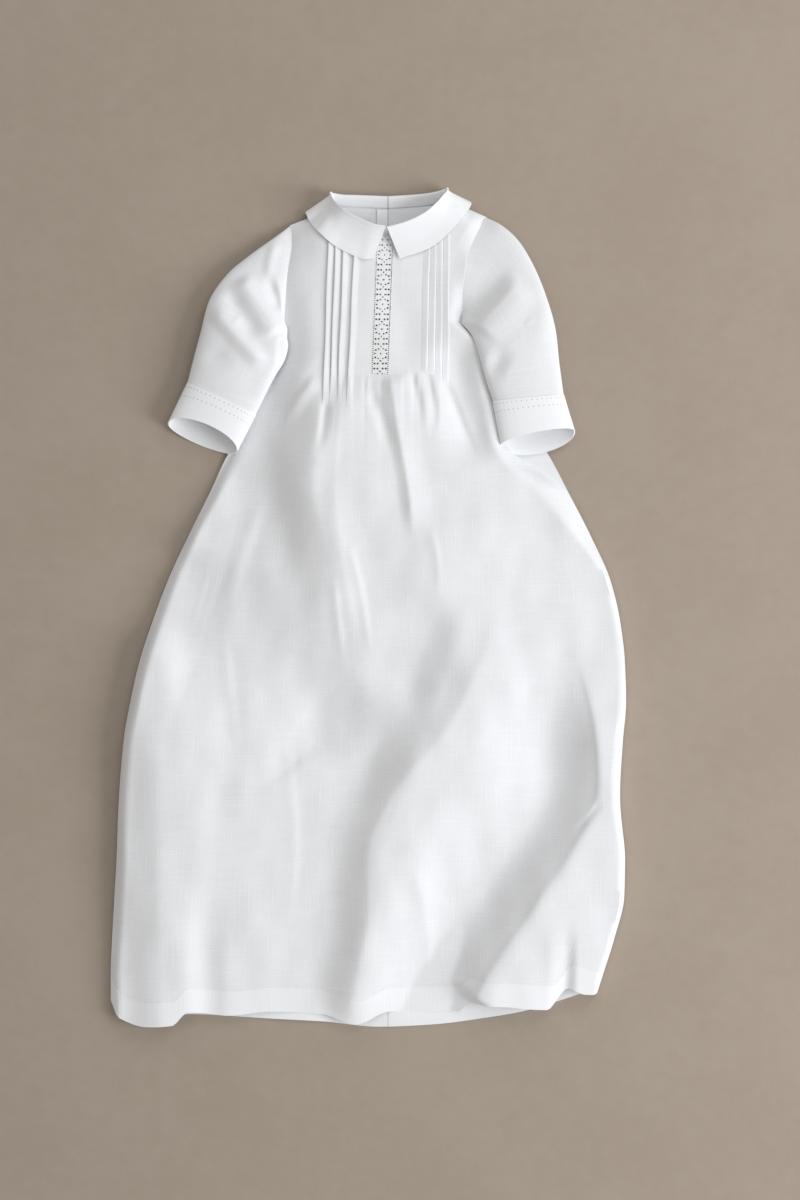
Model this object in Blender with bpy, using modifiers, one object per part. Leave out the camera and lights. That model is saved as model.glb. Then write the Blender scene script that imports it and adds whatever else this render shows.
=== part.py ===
"""A baby's linen christening gown, laid on its back on a flat surface.

+X is to the wearer's left, +Y to the neck, +Z up off the surface. Sizes are in millimetres and
become metres where a mesh is placed. The front is one height over the plan, front_height(x, y),
and the yoke, the lace, the tucks and the collar are all laid on that same height.
"""

import math

import bmesh
import bpy
from mathutils import Vector

MM = 0.001

CLOTH = 1.1  # wall of a single layer
TRIM = 1.0  # wall of the tucks, the placket and the lace
SEAM = 0.3  # space between two pieces that are sewn together
ON_TOP = 0.7  # space under a piece that lies on a panel

SEAM_Y = 223.5  # where the gathered skirt joins the yoke
ARMHOLES = {  # the armhole seam from the shoulder down to the underarm, as (x, y)
    "left": ((-75.0, 367.6), (-72.8, 349.0), (-76.5, 325.0), (-79.4, 300.0), (-81.0, 275.5)),
    "right": ((113.0, 375.4), (100.5, 353.0), (93.6, 335.0), (90.2, 305.0), (88.8, 274.0)),
}
ARMHOLE_SIDE = 2.6  # height of the armhole ring at the shoulder and at the underarm
ARMHOLE_CROWN = 14.0  # height of the armhole ring halfway down

SHOULDERS = {"left": (-57.0, 374.8), "right": (96.0, 383.2)}  # a point midway along each shoulder seam

SHOULDER_ROLL = 20.0  # how far the front takes to roll up from a shoulder seam

COLLAR_FLOOR = 1.6  # how far the back lifts to let the collar lie under it
COLLAR_FLOOR_FROM = 344.0
COLLAR_FLOOR_TO = 361.0

# The body below the armholes. The cloth lies flat from an edge to its rise, where a sleeve
# covers it, then rolls up over the given width to the crown.
# y, left edge, left rise, left roll, right roll, right rise, right edge, crown
BODY = (
    (275.0, -81.0, -78.0, 20.0, 12.0, 87.0, 88.8, 15.0),
    (250.0, -83.0, -73.0, 23.0, 20.0, 101.0, 108.0, 16.0),
    (223.5, -95.0, -84.0, 27.0, 26.0, 110.0, 122.0, 17.0),
    (190.0, -112.0, -102.0, 32.0, 32.0, 118.0, 144.0, 19.0),
    (160.0, -128.0, -117.0, 36.0, 36.0, 123.0, 165.0, 21.0),
    (140.0, -139.0, -133.0, 40.0, 42.0, 139.0, 177.0, 22.0),
    (115.0, -150.5, -149.0, 44.0, 46.0, 179.0, 190.0, 23.0),
    (66.0, -174.7, -174.0, 48.0, 46.0, 214.0, 215.0, 24.0),
    (28.0, -192.1, -191.0, 50.0, 44.0, 231.0, 231.8, 24.0),
    (-10.0, -206.4, -205.0, 52.0, 40.0, 240.0, 241.0, 24.0),
    (-50.0, -219.5, -218.0, 54.0, 36.0, 245.0, 245.8, 24.0),
    (-88.0, -228.2, -227.0, 55.0, 32.0, 246.0, 247.0, 23.0),
    (-126.0, -234.8, -234.0, 55.0, 30.0, 243.0, 244.4, 22.0),
    (-190.0, -239.8, -239.0, 52.0, 30.0, 241.0, 242.0, 21.0),
    (-240.0, -241.6, -240.0, 48.0, 34.0, 245.0, 246.0, 20.0),
    (-275.0, -243.6, -242.0, 45.0, 36.0, 244.0, 245.3, 18.5),
    (-315.0, -245.8, -244.0, 40.0, 32.0, 235.0, 236.0, 16.5),
    (-350.0, -247.2, -246.0, 36.0, 26.0, 224.0, 225.0, 14.5),
    (-400.0, -247.2, -246.0, 32.0, 24.0, 208.0, 209.0, 12.5),
)

# The largest folds, from the top down: path as (x, y), then the width of the left and of the
# right slope, the height (below zero for a trough) and the length over which each end fades.
FOLDS = {
    "gather hollow": (
        ((-46, 232), (-60, 180), (-68, 120), (-62, 55), (-42, -5), (-20, -70)),
        55, 36, -8.5, 60, 80,
    ),
    "gather ridge": (
        ((-19, 224), (-24, 195), (-31, 150), (-32, 100), (-24, 45), (-12, -20)),
        14, 30, 3.0, 25, 70,
    ),
    "gather crease": (((12, 222), (22, 185), (28, 143), (33, 95), (36, 60)), 14, 12, -3.5, 25, 60),
    "centre trough": (
        ((92, 10), (80, -30), (58, -82), (27, -124), (0, -170), (-11, -215), (-16, -280),
         (-24, -345), (-22, -400)),
        64, 21, -11.5, 60, 1,
    ),
    "right trough": (
        ((172, -20), (190, -62), (207, -110), (211, -160), (207, -188), (176, -213), (152, -250),
         (128, -293), (106, -337), (90, -376), (84, -400)),
        52, 20, -9.5, 90, 1,
    ),
    "left swell": (
        ((-150, 20), (-140, -60), (-128, -140), (-122, -240), (-120, -400)),
        95, 85, 6.5, 110, 1,
    ),
    "left border ridge": (((-196, -40), (-204, -130), (-207, -230), (-208, -400)), 16, 24, 3.0, 60, 1),
    "left border trough": (((-180, 40), (-184, -60), (-188, -200), (-184, -400)), 18, 26, -3.0, 80, 1),
    "hem step": (((188, -290), (190, -330), (188, -400)), 20, 9, -4.5, 50, 1),
}

# The front's hem and the back's hem, as (x, y).
FRONT_HEM = (
    (-247.2, -375.0), (-238.0, -390.5), (-212.0, -398.4), (-186.0, -397.0), (-172.0, -385.0),
    (-132.0, -388.6), (-95.0, -385.4), (-44.0, -388.0), (-11.0, -397.0), (20.0, -385.6), (86.0, -385.4),
    (98.0, -376.5), (130.0, -378.6), (172.0, -382.0), (187.0, -362.0), (204.0, -367.6), (219.4, -368.4),
)
BACK_HEM = (
    (-247.2, -373.0), (-232.0, -389.0), (-180.0, -388.5), (-102.0, -392.3), (-46.0, -395.4), (10.0, -400.8),
    (64.0, -398.6), (125.0, -390.7), (160.0, -384.0), (219.4, -364.0),
)

# The neck seam, from shoulder point to shoulder point.
FRONT_NECK = (
    (-38.0, 385.5), (-30.5, 380.0), (-22.0, 374.0), (-9.0, 367.6), (4.0, 362.0), (17.3, 359.6),
    (31.0, 362.8), (44.0, 367.6), (59.5, 376.0), (71.0, 388.0), (79.5, 393.4),
)
BACK_NECK = ((-38.0, 385.5), (-27.0, 383.6), (18.7, 383.2), (66.0, 385.0), (79.5, 393.4))
CENTRE_BACK = 18.7

LACE_WIDTH = 16.8
LACE_CENTRE = ((16.2, 360.0), (11.0, SEAM_Y))  # its middle at the neck and at the seam
YOKE_SIDES = (((-21.5, 373.0), (-26.0, SEAM_Y)), ((67.5, 383.0), (65.5, SEAM_Y)))

TUCK_WIDTH = 5.6
# A tuck's stitched line: x at the collar, y there, x at its foot, y there.
TUCKS = {
    "left": (
        (-38.5, 349.0, -43.5, 196.0), (-31.5, 350.0, -37.0, 202.0), (-24.0, 345.0, -28.6, 226.0),
        (-14.0, 341.0, -19.4, 226.0),
    ),
    "right": (
        (53.0, 344.0, 50.2, 226.0), (59.2, 347.5, 57.2, 226.0), (65.4, 352.0, 64.2, 218.0),
        (71.6, 357.0, 71.0, 212.0),
    ),
}

# Rings of a sleeve from the armhole to the cuff seam, then of its cuff. Each ring is a flattened
# tube between an outer and an inner side: outer x, outer y, inner x, inner y, the height of its
# sides, its crown and its underside.
SLEEVES = {
    "left": (
        (-92.0, 354.0, -84.0, 272.5, 6.0, 18.0, 0.0),
        (-114.0, 337.8, -82.0, 267.0, 9.0, 22.0, 0.0),
        (-135.0, 319.6, -77.5, 259.0, 11.0, 25.0, 0.0),
        (-151.6, 295.0, -75.6, 250.0, 11.5, 26.0, 0.0),
        (-160.0, 264.0, -80.5, 236.0, 11.5, 26.0, 0.0),
        (-167.0, 238.0, -91.0, 218.5, 11.5, 25.0, 0.0),
        (-173.2, 215.5, -107.5, 184.5, 11.5, 24.0, 0.0),
    ),
    "right": (
        (128.0, 366.6, 94.0, 271.0, 6.5, 19.0, 0.5),
        (143.6, 351.4, 99.5, 267.5, 10.0, 23.0, 1.4),
        (157.6, 327.6, 103.5, 262.0, 12.0, 26.0, 2.6),
        (169.0, 299.5, 106.0, 253.0, 13.5, 28.0, 3.8),
        (178.0, 268.0, 109.5, 241.0, 14.5, 28.0, 4.2),
        (182.0, 234.0, 114.5, 222.0, 14.5, 27.0, 4.2),
        (186.6, 203.0, 121.2, 197.0, 14.5, 26.0, 4.2),
    ),
}
CUFFS = {
    "left": (
        (-173.4, 214.9, -107.8, 183.9, 11.5, 24.0, 0.0),
        (-183.0, 195.0, -116.6, 166.8, 11.5, 24.0, 0.0),
        (-191.6, 177.0, -125.3, 149.9, 11.0, 23.5, 0.0),
    ),
    "right": (
        (186.8, 202.4, 121.3, 196.4, 14.5, 26.0, 4.2),
        (191.8, 186.0, 124.4, 177.0, 14.5, 26.0, 4.2),
        (197.0, 169.6, 127.6, 156.0, 14.0, 25.5, 4.2),
    ),
}
# How far a cuff's upper lip is short of its last ring, and how far its lower lip is long.
CUFF_SLANT = {"left": (13.0, 7.0), "right": (5.5, 14.0)}

# Stations of a collar half from the centre front to the centre back: the roll line, then the
# outer edge, then the turn, 0 where the fall lies on the front and 1 where it lies underneath.
# roll x, roll y, edge x, edge y, turn
COLLARS = {
    "left": (
        (16.9, 362.8, 5.4, 333.6, 0), (5.1, 365.0, -5.0, 333.2, 0), (-7.8, 370.4, -18.6, 338.6, 0),
        (-20.6, 377.0, -33.5, 346.8, 0), (-28.6, 383.4, -47.0, 358.8, 0), (-31.6, 387.0, -52.0, 364.4, 0),
        (-33.8, 391.0, -56.4, 370.6, 0), (-35.2, 394.6, -59.2, 376.8, 0.2), (-35.8, 396.8, -60.4, 380.0, 0.5),
        (-34.6, 397.2, -58.0, 380.8, 1),
        (-25.0, 395.6, -44.0, 371.0, 1), (-9.0, 394.9, -14.0, 366.0, 1), (18.4, 393.8, 18.3, 364.8, 1),
    ),
    "right": (
        (17.7, 362.8, 30.0, 333.4, 0), (29.5, 365.8, 40.4, 337.0, 0), (42.3, 370.4, 55.2, 342.0, 0),
        (55.0, 377.4, 68.6, 350.4, 0), (64.2, 385.2, 81.2, 362.4, 0), (68.4, 390.0, 87.8, 369.8, 0),
        (71.8, 394.8, 93.2, 377.4, 0), (74.6, 398.8, 97.6, 384.8, 0.2), (75.8, 400.8, 98.6, 388.6, 0.5),
        (74.2, 401.2, 96.6, 389.6, 1),
        (64.0, 398.0, 80.0, 376.0, 1), (48.0, 395.6, 52.0, 367.4, 1), (19.0, 393.8, 19.1, 364.8, 1),
    ),
}
# The fall from the roll line to its edge: share of its depth and share of its drop where it lies
# on the front, then share of its depth, bulge beyond the roll and share of its drop underneath.
FALL = (
    (0.0, 0.0, 0.0, 0.0, 0.0),
    (0.13, 0.16, 0.0, 1.3, 0.5),
    (0.34, 0.5, 0.05, 0.3, 1.0),
    (0.65, 0.85, 0.5, 0.0, 1.0),
    (1.0, 1.0, 1.0, 0.0, 1.0),
)
COLLAR_LIES = 3.2  # height of the fall's outer face over the front, clear of the tucks
COLLAR_SEAM_OUT = 2.4  # how far outside the roll line the stand meets the neck
COLLAR_STAND = 6.0  # how far the roll line stands over the front
COLLAR_BACK_ROLL = 7.2  # height of the roll line at the back
COLLAR_BACK_SEAM = 9.4  # how far below the roll line the back's neck seam lies
COLLAR_SHOULDER_GAP = 4.0  # how far inside the shoulder seam the fall takes the front's height

BACK_INSET = 1.6  # how far the back's edges lie inside the front's
PLACKET = (8.2, 18.3)  # left and right edge of the strip beside the centre back
PLACKET_LEVELS = (268.0, 306.0, COLLAR_FLOOR_FROM, COLLAR_FLOOR_TO, 382.8)


def smooth(t):
    """0 below 0, 1 above 1 and an even S between."""
    t = min(max(t, 0.0), 1.0)
    return t * t * (3 - 2 * t)


def through(points, at):
    """A smooth curve through (station, value) rows, read at one station. Stations may run down."""
    rows = sorted((float(station), float(value)) for station, value in points)
    if at <= rows[0][0]:
        return rows[0][1]
    if at >= rows[-1][0]:
        return rows[-1][1]
    i = max(k for k in range(len(rows) - 1) if rows[k][0] <= at)
    (x0, y0), (x1, y1) = rows[i], rows[i + 1]
    rate = (y1 - y0) / (x1 - x0)
    before = (y0 - rows[i - 1][1]) / (x0 - rows[i - 1][0]) if i else rate
    after = (rows[i + 2][1] - y1) / (rows[i + 2][0] - x1) if i + 2 < len(rows) else rate
    start = 0.0 if before * rate <= 0 else 2 * before * rate / (before + rate)
    end = 0.0 if after * rate <= 0 else 2 * after * rate / (after + rate)
    t = (at - x0) / (x1 - x0)
    reach = x1 - x0
    return (
        y0 * (1 + 2 * t) * (1 - t) ** 2
        + start * reach * t * (1 - t) ** 2
        + y1 * t * t * (3 - 2 * t)
        - end * reach * t * t * (1 - t)
    )


def between(a, b, t):
    return a + (b - a) * t


def swapped(points):
    return [(y, x) for x, y in points]


def body(column, y):
    return through([(row[0], row[column]) for row in BODY], y)


def armhole_share(side, y):
    """How far down the armhole a height y is: 0 at the shoulder, 1 at the underarm."""
    top, foot = ARMHOLES[side][0][1], ARMHOLES[side][-1][1]
    return min(max((top - y) / (top - foot), 0.0), 1.0)


def armhole_height(share):
    swell = 2 * math.sqrt(share * (1 - share))
    return between(ARMHOLE_SIDE, ARMHOLE_CROWN, swell**0.8)


def back_floor(y):
    """Height of the back's underside."""
    ramp = (y - COLLAR_FLOOR_FROM) / (COLLAR_FLOOR_TO - COLLAR_FLOOR_FROM)
    return COLLAR_FLOOR * min(max(ramp, 0.0), 1.0)


def side_edge(side, y):
    if y > ARMHOLES[side][-1][1]:
        return through(swapped(ARMHOLES[side]), y)
    return body(1 if side == "left" else 6, y)


def top_edge(neck):
    """A panel's upper edge from armhole to armhole, over the shoulders and along a neck line."""
    return [ARMHOLES["left"][0], SHOULDERS["left"], *neck, SHOULDERS["right"], ARMHOLES["right"][0]]


def shoulder_line(x):
    """y of the shoulder seam, carried on level across the neck."""
    return through(top_edge((FRONT_NECK[0], FRONT_NECK[-1])), x)


def front_top(x):
    """y of the front's upper edge: the shoulders and the neck."""
    return through(top_edge(FRONT_NECK), x)


def back_top(x):
    return through(top_edge(BACK_NECK), x)


def fold_height(x, y):
    """What the folds add to the front's height."""
    total = 0.0
    for path, left_width, right_width, height, fade_in, fade_out in FOLDS.values():
        top, foot = path[0][1], path[-1][1]
        if y >= top or y < foot - 1:
            continue
        fade = smooth((top - y) / fade_in) * smooth((y - foot + 1) / fade_out)
        away = x - through(swapped(path), y)
        reach = left_width if away < 0 else right_width
        if abs(away) < reach:
            total += height * fade * (0.5 + 0.5 * math.cos(math.pi * away / reach))
    return total


def rise(away, roll):
    """0 at an edge and 1 at the end of its roll, steepest at the edge."""
    return math.sin(0.5 * math.pi * min(max(away / roll, 0.0), 1.0)) ** 0.85


def front_height(x, y):
    """Height of the front's outer face over the surface that the gown lies on."""
    lowest = back_floor(y) + 2 * CLOTH + SEAM
    crown = body(7, y)
    left_roll, right_roll = body(3, y), body(4, y)
    rises = []
    for side, roll in (("left", left_roll), ("right", right_roll)):
        sign = 1 if side == "left" else -1
        share = armhole_share(side, y)
        if y > ARMHOLES[side][-1][1]:
            away = sign * (x - side_edge(side, y))
            start = armhole_height(share) + back_floor(y)
        else:
            away = sign * (x - body(2 if side == "left" else 5, y))
            start = lowest
        rises.append((rise(away, roll), start))
    (left, left_start), (right, right_start) = rises
    edge = between(left_start, right_start, smooth((x + 60) / 120))
    height = between(edge, crown, left * right)
    height += fold_height(x, y) * left * right
    shoulder = rise(shoulder_line(x) - y, SHOULDER_ROLL)
    height = between(lowest, height, shoulder)
    return max(height, lowest)


def spread(counts):
    """The zone between two guide lines, and the share of its width, of each column line."""
    places = [(0, 0.0)]
    for zone, count in enumerate(counts):
        places += [(zone, (k + 1) / count) for k in range(count)]
    return places


def linen(name, colour, roughness=0.9):
    made = bpy.data.materials.new(name)
    made.use_nodes = True
    surface = made.node_tree.nodes["Principled BSDF"]
    surface.inputs["Base Color"].default_value = (*colour, 1.0)
    surface.inputs["Roughness"].default_value = roughness
    surface.inputs["Metallic"].default_value = 0.0
    return made


def sheet(name, columns, rows, place, material, thickness=CLOTH, keep=None, tube=False, folded=False):
    """A grid of cloth: place(column, row) gives each point of its outer face, and Solidify its wall."""
    grid = bmesh.new()
    bmesh.ops.create_grid(grid, x_segments=columns, y_segments=rows, size=0.5)
    spots = {v: (round((v.co.x + 0.5) * columns), round((v.co.y + 0.5) * rows)) for v in grid.verts}
    if keep:
        corners = {f: [min(spots[v][k] for v in f.verts) for k in (0, 1)] for f in grid.faces}
        cut = [face for face, corner in corners.items() if not keep(*corner)]
        bmesh.ops.delete(grid, geom=cut, context="FACES")
    for vert in grid.verts:
        vert.co = Vector(place(*spots[vert])) * MM
    if tube:
        bmesh.ops.remove_doubles(grid, verts=grid.verts, dist=1e-6)
    mesh = bpy.data.meshes.new(name)
    grid.to_mesh(mesh)
    grid.free()
    mesh.materials.append(material)
    mesh.shade_smooth()
    piece = bpy.data.objects.new(name, mesh)
    wall = piece.modifiers.new("wall", "SOLIDIFY")
    wall.thickness = thickness * MM
    wall.offset = -1.0
    wall.use_even_offset = not folded  # even walls shoot out where cloth folds back on itself
    gown.objects.link(piece)
    return piece


FRONT_ZONES = (11, 13, 11)  # columns left of the yoke, under it and right of it
ROWS_BELOW = 28  # rows of the skirt
ROWS_ABOVE = 8  # rows beside the yoke
ROWS_TO_UNDERARM = 3  # those of them that are below the underarm
FAN_FEET = (-92.0, 84.0)  # x at the hem of the columns that start at the yoke's two sides


def yoke_side(side, y):
    return through(swapped(YOKE_SIDES[side]), y)


def guides(y):
    """x of the four lines that the front's columns are spread between, at the height y."""
    down = (SEAM_Y - y) / (SEAM_Y - FRONT_HEM[0][1])
    fan = [between(YOKE_SIDES[k][1][0], FAN_FEET[k], max(down, 0.0) ** 0.9) for k in (0, 1)]
    if y > SEAM_Y:
        fan = [yoke_side(k, y) for k in (0, 1)]
    return [side_edge("left", y), fan[0], fan[1], side_edge("right", y)]


def row_above(top, row, underarm):
    if row <= ROWS_TO_UNDERARM:
        return between(SEAM_Y, underarm, row / ROWS_TO_UNDERARM)
    return between(underarm, top, (row - ROWS_TO_UNDERARM) / (ROWS_ABOVE - ROWS_TO_UNDERARM))


def front_place(column, row):
    zone, share = spread(FRONT_ZONES)[column]
    lines = guides(FRONT_HEM[0][1])
    foot_x = between(lines[zone], lines[zone + 1], share)
    foot_x = min(foot_x, FRONT_HEM[-1][0]) if zone == 2 else foot_x
    if row <= ROWS_BELOW:
        foot = through(FRONT_HEM, foot_x if zone < 2 else between(lines[2], FRONT_HEM[-1][0], share))
        top = SEAM_Y - (SEAM if zone == 1 and 0 < share < 1 else 0)
        y = between(foot, top, row / ROWS_BELOW)
    else:
        ends = (ARMHOLES["left"][0][0], YOKE_SIDES[0][0][0], YOKE_SIDES[1][0][0], ARMHOLES["right"][0][0])
        top = front_top(between(ends[zone], ends[zone + 1], share))
        underarm = between(ARMHOLES["left"][-1][1], ARMHOLES["right"][-1][1], zone / 2)
        y = row_above(top, row - ROWS_BELOW, underarm)
    lines = guides(y)
    x = between(lines[zone], lines[zone + 1], share)
    return x, y, front_height(x, y)


def front_keep(column, row):
    middle = FRONT_ZONES[0] <= column < FRONT_ZONES[0] + FRONT_ZONES[1]
    return row < ROWS_BELOW or not middle


def make_front():
    sheet("front", sum(FRONT_ZONES), ROWS_BELOW + ROWS_ABOVE, front_place, white, keep=front_keep)


def make_yoke():
    rows = 9

    def lace_x(y, side):
        return through(swapped(LACE_CENTRE), y) + side * LACE_WIDTH / 2

    def strip(left, right, columns):
        def place(column, row):
            share = column / columns
            top_y = front_top(between(left(360.0), right(360.0), share))
            y = between(SEAM_Y, top_y, row / rows)
            x = between(left(y), right(y), share)
            return x, y, front_height(x, y)

        return place

    left_side = strip(lambda y: yoke_side(0, y) + SEAM, lambda y: lace_x(y, -1) - SEAM, 4)
    right_side = strip(lambda y: lace_x(y, 1) + SEAM, lambda y: yoke_side(1, y) - SEAM, 5)
    lace = strip(lambda y: lace_x(y, -1), lambda y: lace_x(y, 1), 2)
    sheet("yoke_left", 4, rows, left_side, white)
    sheet("yoke_right", 5, rows, right_side, white)
    sheet("lace_insertion", 2, rows, lace, openwork, TRIM)


def make_tucks():
    rows = 12
    for side, lines in TUCKS.items():
        for number, (top_x, top_y, foot_x, foot_y) in enumerate(lines, 1):

            def place(column, row):
                share = row / rows
                x = between(foot_x, top_x, share) + column * TUCK_WIDTH
                y = between(foot_y, top_y, share)
                return x, y, front_height(x, y) + TRIM + ON_TOP

            sheet(f"pin_tuck_{side}_{number}", 1, rows, place, white, TRIM)


def make_back():
    columns, rows = 4, 23
    levels = (275.0, 298.0, 321.0, COLLAR_FLOOR_FROM, COLLAR_FLOOR_TO)
    skirt_rows = rows - len(levels)

    def half(side):
        def place(column, row):
            share = column / columns
            if side == "right":
                share = 1 - share
            ends = (FRONT_HEM[0][0], FRONT_HEM[-1][0])
            edge_end = ends[0] if side == "left" else ends[1]
            inset = BACK_INSET if side == "left" else -BACK_INSET
            centre = CENTRE_BACK - SEAM / 2 if side == "left" else CENTRE_BACK + SEAM / 2
            top_end = ARMHOLES[side][0][0]
            foot = through(BACK_HEM, between(edge_end, centre, share))
            top = back_top(between(top_end, centre, share))
            if row <= skirt_rows:
                y = between(foot, levels[0], row / skirt_rows)
            else:
                y = (*levels, top)[row - skirt_rows]
            x = between(side_edge(side, y) + inset, centre, share)
            return x, y, back_floor(y) + CLOTH

        return place

    sheet("back_left", columns, rows, half("left"), white)
    sheet("back_right", columns, rows, half("right"), white)

    def placket(column, row):
        y = PLACKET_LEVELS[row]
        return PLACKET[column], y, back_floor(y) + CLOTH + SEAM + TRIM

    sheet("back_placket", 1, len(PLACKET_LEVELS) - 1, placket, white, TRIM)


def ring_point(outer, inner, side, crown, base, turn, slant=(0.0, 0.0)):
    """A point of a flattened tube's ring. turn runs from 0 at the outer side, over the top."""
    angle = 2 * math.pi * turn
    across = (1 - math.cos(angle)) / 2
    lift = math.sin(angle)
    x, y = between(outer[0], inner[0], across), between(outer[1], inner[1], across)
    height = side + (crown - side) * lift**0.8 if lift > 0 else side - (side - base) * (-lift) ** 0.9
    run = Vector((inner[1] - outer[1], outer[0] - inner[0])).normalized()
    if run.y > 0:
        run = -run
    shift = -slant[0] * max(lift, 0.0) + slant[1] * max(-lift, 0.0)
    return x + run.x * shift, y + run.y * shift, height


RING = 20  # points round a sleeve


def make_sleeve(side):
    stations = SLEEVES[side]
    sign = 1 if side == "left" else -1

    def armhole_ring(turn):
        share = (1 - math.cos(2 * math.pi * turn)) / 2
        lift = math.sin(2 * math.pi * turn)
        top, foot = ARMHOLES[side][0][1], ARMHOLES[side][-1][1]
        y = between(top, foot, share)
        x = side_edge(side, y + 1e-6) - sign * 3 * SEAM
        floor = back_floor(y)
        height = armhole_height(share) + floor if lift >= 0 else ARMHOLE_SIDE * (1 - (-lift) ** 0.9)
        return x, y, height

    def place(column, row):
        turn = column % RING / RING
        if side == "right":
            turn = (1 - turn) % 1.0
        if row == len(stations):
            return armhole_ring(turn)
        outer_x, outer_y, inner_x, inner_y, height, crown, base = stations[len(stations) - 1 - row]
        return ring_point((outer_x, outer_y), (inner_x, inner_y), height, crown, base, turn)

    sheet(f"sleeve_{side}", RING, len(stations), place, white, tube=True)


def make_cuff(side):
    stations = CUFFS[side]

    def place(column, row):
        turn = column % RING / RING
        if side == "right":
            turn = (1 - turn) % 1.0
        outer_x, outer_y, inner_x, inner_y, height, crown, base = stations[len(stations) - 1 - row]
        share = 1 - row / (len(stations) - 1)
        slant = [reach * share for reach in CUFF_SLANT[side]]
        return ring_point((outer_x, outer_y), (inner_x, inner_y), height, crown, base, turn, slant)

    sheet(f"cuff_{side}", RING, len(stations) - 1, place, white, tube=True)


def make_collar(side):
    """Each station runs from the neck seam up the stand to the roll line and down the fall."""
    stations = COLLARS[side]

    def on_front(roll, out, column):
        level = front_height(*(roll + 0.4 * out))
        if column == 0:
            seam = roll + out.normalized() * COLLAR_SEAM_OUT
            return Vector((*seam, level + CLOTH))
        share, drop = FALL[column - 1][:2]
        spot = roll + out * share
        lying = front_height(spot.x, min(spot.y, shoulder_line(spot.x) - COLLAR_SHOULDER_GAP)) + COLLAR_LIES
        return Vector((*spot, between(level + COLLAR_STAND, lying, drop)))

    def underneath(roll, out, column):
        if column == 0:
            seam = roll + Vector((0.0, -COLLAR_BACK_SEAM))
            return Vector((*seam, COLLAR_FLOOR + CLOTH + 2 * SEAM))
        share, bulge, drop = FALL[column - 1][2:]
        spot = roll + out * share - out.normalized() * bulge
        return Vector((*spot, between(COLLAR_BACK_ROLL, 0.0, drop)))

    def place(column, row):
        station = row if side == "right" else len(stations) - 1 - row
        roll_x, roll_y, edge_x, edge_y, turn = stations[station]
        roll = Vector((roll_x, roll_y))
        out = Vector((edge_x, edge_y)) - roll
        return on_front(roll, out, column).lerp(underneath(roll, out, column), turn)

    sheet(f"collar_{side}", len(FALL), len(stations) - 1, place, white, folded=True)


for leftover in list(bpy.data.objects):
    bpy.data.objects.remove(leftover)
gown = bpy.data.collections.new("christening_gown")
bpy.context.scene.collection.children.link(gown)
white = linen("white_linen", (0.86, 0.87, 0.88))
openwork = linen("white_lace", (0.8, 0.8, 0.81))

make_back()
make_front()
make_yoke()
make_tucks()
for hand in ("left", "right"):
    make_sleeve(hand)
    make_cuff(hand)
    make_collar(hand)
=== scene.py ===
"""A baby's christening gown of white linen, laid on its back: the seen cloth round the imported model."""

import math
from functools import partial

import bmesh
import bpy
import numpy as np
from mathutils import Matrix, Vector


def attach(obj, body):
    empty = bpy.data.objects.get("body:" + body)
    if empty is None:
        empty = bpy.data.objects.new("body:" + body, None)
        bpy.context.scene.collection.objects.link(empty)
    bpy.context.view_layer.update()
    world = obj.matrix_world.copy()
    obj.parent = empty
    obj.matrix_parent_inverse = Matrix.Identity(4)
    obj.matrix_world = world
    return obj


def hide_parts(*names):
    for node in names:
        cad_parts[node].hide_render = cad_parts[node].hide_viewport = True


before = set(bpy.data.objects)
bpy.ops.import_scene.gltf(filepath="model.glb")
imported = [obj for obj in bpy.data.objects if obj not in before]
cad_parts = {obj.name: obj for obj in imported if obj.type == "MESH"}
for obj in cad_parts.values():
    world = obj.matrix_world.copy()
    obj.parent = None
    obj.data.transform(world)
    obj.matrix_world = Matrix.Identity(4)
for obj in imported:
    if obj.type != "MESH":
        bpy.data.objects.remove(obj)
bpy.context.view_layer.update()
scene = bpy.context.scene

# ------------------------------
# The surface, the light and the camera. The gown lies on a matt painted board. One large soft
# window stands far off on the wearer's left, low down. A weak lamp past the shoulder and the pale
# room fill in.
MM = 0.001
TURN = 2 * math.pi
SIDES = ("left", "right")
BOARD_HALF = 4.0
BOARD_TONE = (0.378, 0.315, 0.256)
BOARD_PALE = (0.400, 0.336, 0.275)
BOARD_DROP = 0.0003  # the board lies just under the cloth
BOARD_ROUGH = 0.92
MOTTLE_CELLS = (9.0, 70.0)  # to a metre, wide and fine
MOTTLE_SHARES = (0.6, 0.4)
BRUSH_CELLS = 400.0
SHINE = 0.25
MIX_COLOURS, MIX_RESULT = (6, 7), 2  # a Mix node's colour inputs and its colour output
WINDOW_AWAY = 2.9
WINDOW_FROM = (0.84, -0.22, 0.47)
WINDOW_SIDE = 1.5
WINDOW_POWER = 61.0
WINDOW_TINT = (0.955, 0.985, 1.025)
ROOM_TINT = (1.0, 0.974, 0.945)
ROOM_STRENGTH = 0.50
LAMP_PLACE = (1.0, 1.5, 1.5)
LAMP_SIDE = 1.0
LAMP_POWER = 9.0
LENS = 62.5
EYE = (0.0302, 0.0086, 2.0)


def placed(name, data):
    """A new object of the scene."""
    made = bpy.data.objects.new(name, data)
    scene.collection.objects.link(made)
    return made


def meshed(name, shape, material):
    """The mesh of a finished shape, in its material."""
    mesh = bpy.data.meshes.new(name)
    shape.to_mesh(mesh)
    shape.free()
    mesh.materials.append(material)
    return mesh


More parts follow.
